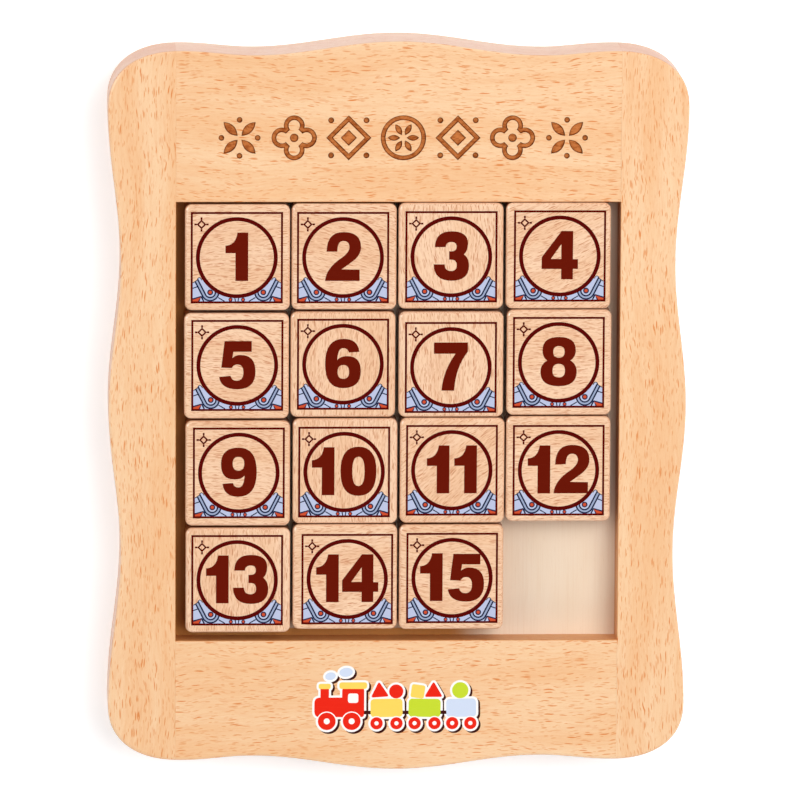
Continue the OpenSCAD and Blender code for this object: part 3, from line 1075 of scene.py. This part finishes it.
def toy_train():
    """The badge: a toy train with three wagons, a ball or a block on each."""
    roof = rounded_polygon([(-2.6, -1.9), (2.6, -1.9), (0, 2.6)], 0.8)
    wheel = ellipse(0, 0, 1.75, steps=36)
    drive_wheel = ellipse(0, 0, 2.5, steps=44)
    pieces = [
        (RED, block(9.6, 5.6, 1.6), -17.3, -0.6, 0),
        (RED, block(6.2, 8.4, 0.9), -11.2, 0.8, 0),
        (YELLOW, block(7.8, 1.9, 0.8), -11.2, 5.6, 0),
        (RED, block(2.4, 4.2, 0.6), -19.2, 3.2, 0),
        (YELLOW, block(3.4, 1.5, 0.6), -19.2, 5.4, 0),
        (PALE, ellipse(0, 0, 1.5, 1.1, steps=32), -17.6, 8.3, 12),
        (PALE, ellipse(0, 0, 1.9, 1.3, steps=32), -13.2, 9.4, 8),
        (YELLOW, block(9.0, 5.2, 1.2), -1.8, -0.8, 1),
        (GREEN, block(9.0, 5.2, 1.2), 8.9, -0.8, -1),
        (PALE, block(8.4, 5.2, 1.2), 19.2, -0.8, 1),
        (RED, roof, -3.8, 4.2, 4),
        (RED, ellipse(0, 0, 2.0, steps=36), 0.9, 3.9, 0),
        (YELLOW, block(3.8, 3.8, 0.7), 7.0, 3.9, -8),
        (RED, roof, 11.4, 4.2, 0),
        (GREEN, ellipse(0, 0, 2.3, steps=40), 18.9, 4.2, 0),
        (RED, drive_wheel, -18.6, -4.6, 0),
        (RED, drive_wheel, -11.6, -4.6, 0),
    ]
    pieces += [(RED, wheel, x, -5.2, 0) for x in (-4.6, 1.0, 6.1, 11.7, 16.7, 21.8)]
    contours = [moved(c, BADGE_X + x, BADGE_Y + y, 1, math.radians(a)) for _, c, x, y, a in pieces]
    bar = rectangle(BADGE_X - 12, BADGE_Y - 2.6, BADGE_X + 18, BADGE_Y - 1.6)     # the couplings
    window = moved(block(2.9, 2.7, 0.7), BADGE_X - 11.2, BADGE_Y + 2.0)
    hubs = [
        ellipse(BADGE_X + x, BADGE_Y + y, 0.85 if c is drive_wheel else 0.6, steps=24)
        for _, c, x, y, _ in pieces if c is wheel or c is drive_wheel
    ]
    shapes = [Shape(SHADOW, [moved(grown(c, OUTLINE_W), *SHADOW_SHIFT)]) for c in contours]
    shapes += [Shape(WHITE, [grown(c, OUTLINE_W)]) for c in contours]
    shapes.append(Shape(SHADOW, [bar]))
    for (colour, outline, *_), c in zip(pieces, contours):
        if outline is wheel or outline is drive_wheel:
            shapes.append(Shape(WHITE, [grown(c, WHEEL_GAP)]))
        shapes.append(Shape(colour, [c]))
    shapes += [Shape(WHITE, [c]) for c in hubs + [window]]
    return shapes


low_rail = mirrored_outline(*rail_outline(-POCKET_BOTTOM), lambda p: (p[0], -p[1]))
frame_member("bottom_rail", low_rail, [FRAME_WOOD] + BADGE_INKS, (1.5, (1.31, 0.22, 0)), toy_train())


# ---- carried-over CAD nodes

def repaint(node, material):
    piece = frame["nodes"][node]
    piece.data.materials.clear()
    piece.data.materials.append(material)


repaint("floor_panel", PLYWOOD)
for name in frame["nodes"]:
    if name.startswith("dowel_"):
        repaint(name, DOWEL_WOOD)


# ---- stage, light and camera

def paper(name):
    """The studio's pale floor. A little light of its own keeps the background white."""
    n = Nodes(name)
    place = n.new("ShaderNodeTexCoord").outputs["Object"]
    fibre = n.noise(n.scaled(place, 90, 90, 90), detail=3.0)
    colour = n.mix(n.smooth(fibre, 0.3, 0.7), (0.90, 0.92, 0.945, 1), (0.92, 0.94, 0.96, 1))
    return n.finish(
        colour, 0.8,
        specular_ior_level=0.2, emission_color=(1.0, 1.0, 1.0, 1), emission_strength=0.36,
    )


# From here on, lengths are in metres, except the camera's
FLOOR_HALF = 60.0             # past the horizon of every view
FLOOR_Z = -0.0002             # just under the puzzle


def floor():
    mesh = bpy.data.meshes.new("floor")
    corners = [(x, y, FLOOR_Z) for x, y in centred(2 * FLOOR_HALF, 2 * FLOOR_HALF)]
    mesh.from_pydata(corners, [], [(0, 1, 2, 3)])
    mesh.materials.append(paper("paper"))
    sheet = bpy.data.objects.new("floor", mesh)
    bpy.context.scene.collection.objects.link(sheet)


def softbox(name, place, size, watts, colour=(1, 1, 1), target=(0, 0, 0)):
    """A rectangular lamp at place, turned towards target."""
    data = bpy.data.lights.new(name, "AREA")
    data.shape = "RECTANGLE"
    data.size, data.size_y = size
    data.energy = watts
    data.color = colour
    lamp = bpy.data.objects.new(name, data)
    lamp.location = place
    lamp.rotation_euler = (Vector(target) - Vector(place)).to_track_quat("-Z", "Y").to_euler()
    bpy.context.scene.collection.objects.link(lamp)
    return lamp


WARM_WHITE = (1.0, 0.99, 0.98)
HORIZON_LIGHT, WALL_LIGHT, CEILING_LIGHT = 0.80, 0.52, 0.11


def world():
    """A soft studio: bright walls all round, and a darker ceiling."""
    sky = bpy.data.worlds.new("studio")
    sky.use_nodes = True
    tree = sky.node_tree
    background = tree.nodes["Background"]
    background.inputs["Color"].default_value = (*WARM_WHITE, 1)
    place = tree.nodes.new("ShaderNodeTexCoord")
    parts = tree.nodes.new("ShaderNodeSeparateXYZ")
    tree.links.new(place.outputs["Generated"], parts.inputs[0])
    brighter = tree.nodes.new("ShaderNodeMath")
    brighter.operation = "MAXIMUM"
    ramps = ((0.45, 0.9, WALL_LIGHT, CEILING_LIGHT), (0.02, 0.14, HORIZON_LIGHT, 0.0))
    for ramp, socket in zip(ramps, brighter.inputs):
        height = tree.nodes.new("ShaderNodeMapRange")
        height.interpolation_type = "SMOOTHSTEP"
        set_range(height, *ramp)
        tree.links.new(parts.outputs["Z"], height.inputs["Value"])
        tree.links.new(height.outputs[0], socket)
    tree.links.new(brighter.outputs[0], background.inputs["Strength"])
    bpy.context.scene.world = sky


floor()
world()
key = softbox("key", (0.75, 0.45, 1.7), (1.4, 1.4), 29.0, (1.0, 0.99, 0.975))
key.visible_glossy = False             # the faces would mirror it
softbox("fill", (-1.3, 0.4, 1.05), (0.9, 1.2), 8.0, WARM_WHITE)
softbox("front", (0.1, -1.5, 1.1), (1.2, 0.6), 3.2, WARM_WHITE)
gleam = softbox("gleam", (-1.2, 0.5, 1.0), (0.6, 1.2), 14.0)
gleam.visible_diffuse = False          # it only adds a highlight along the tiles' left edges
softbox("back", (0.0, 1.7, 0.45), (1.6, 0.5), 0.6, (0.7, 0.78, 1.0), target=(0, 0, 0.02))

CAMERA_TILT = 8.9             # degrees from straight above, towards the top of the puzzle
CAMERA_YAW = 2.5              # degrees from straight above, towards its left side
CAMERA_ROLL = 0.3             # degrees, the picture turns clockwise
CAMERA_DISTANCE = 2500.0
CAMERA_AIM = (0.63, 2.17)     # where the view's middle falls on the face
VIEW_WIDTH = 223.6            # how much of the face fits across the view
SENSOR = 36.0


def camera():
    data = bpy.data.cameras.new("camera")
    data.sensor_width = SENSOR
    data.lens = CAMERA_DISTANCE / VIEW_WIDTH * SENSOR
    data.clip_end = 200.0
    eye = bpy.data.objects.new("camera", data)
    lean_x, lean_y = -math.tan(math.radians(CAMERA_YAW)), math.tan(math.radians(CAMERA_TILT))
    back = Vector((lean_x, lean_y, 1.0)).normalized()
    right = Vector((0, 1, 0)).cross(back).normalized()
    up = back.cross(right)
    roll = math.radians(CAMERA_ROLL)
    right, up = (
        right * math.cos(roll) + up * math.sin(roll),
        up * math.cos(roll) - right * math.sin(roll),
    )
    aim = Vector((*CAMERA_AIM, FACE_Z))
    eye.location = (aim + back * CAMERA_DISTANCE) * M
    eye.rotation_euler = Matrix((right, up, back)).transposed().to_euler()
    bpy.context.scene.collection.objects.link(eye)
    bpy.context.scene.camera = eye


camera()
bpy.context.scene.view_settings.view_transform = "Standard"
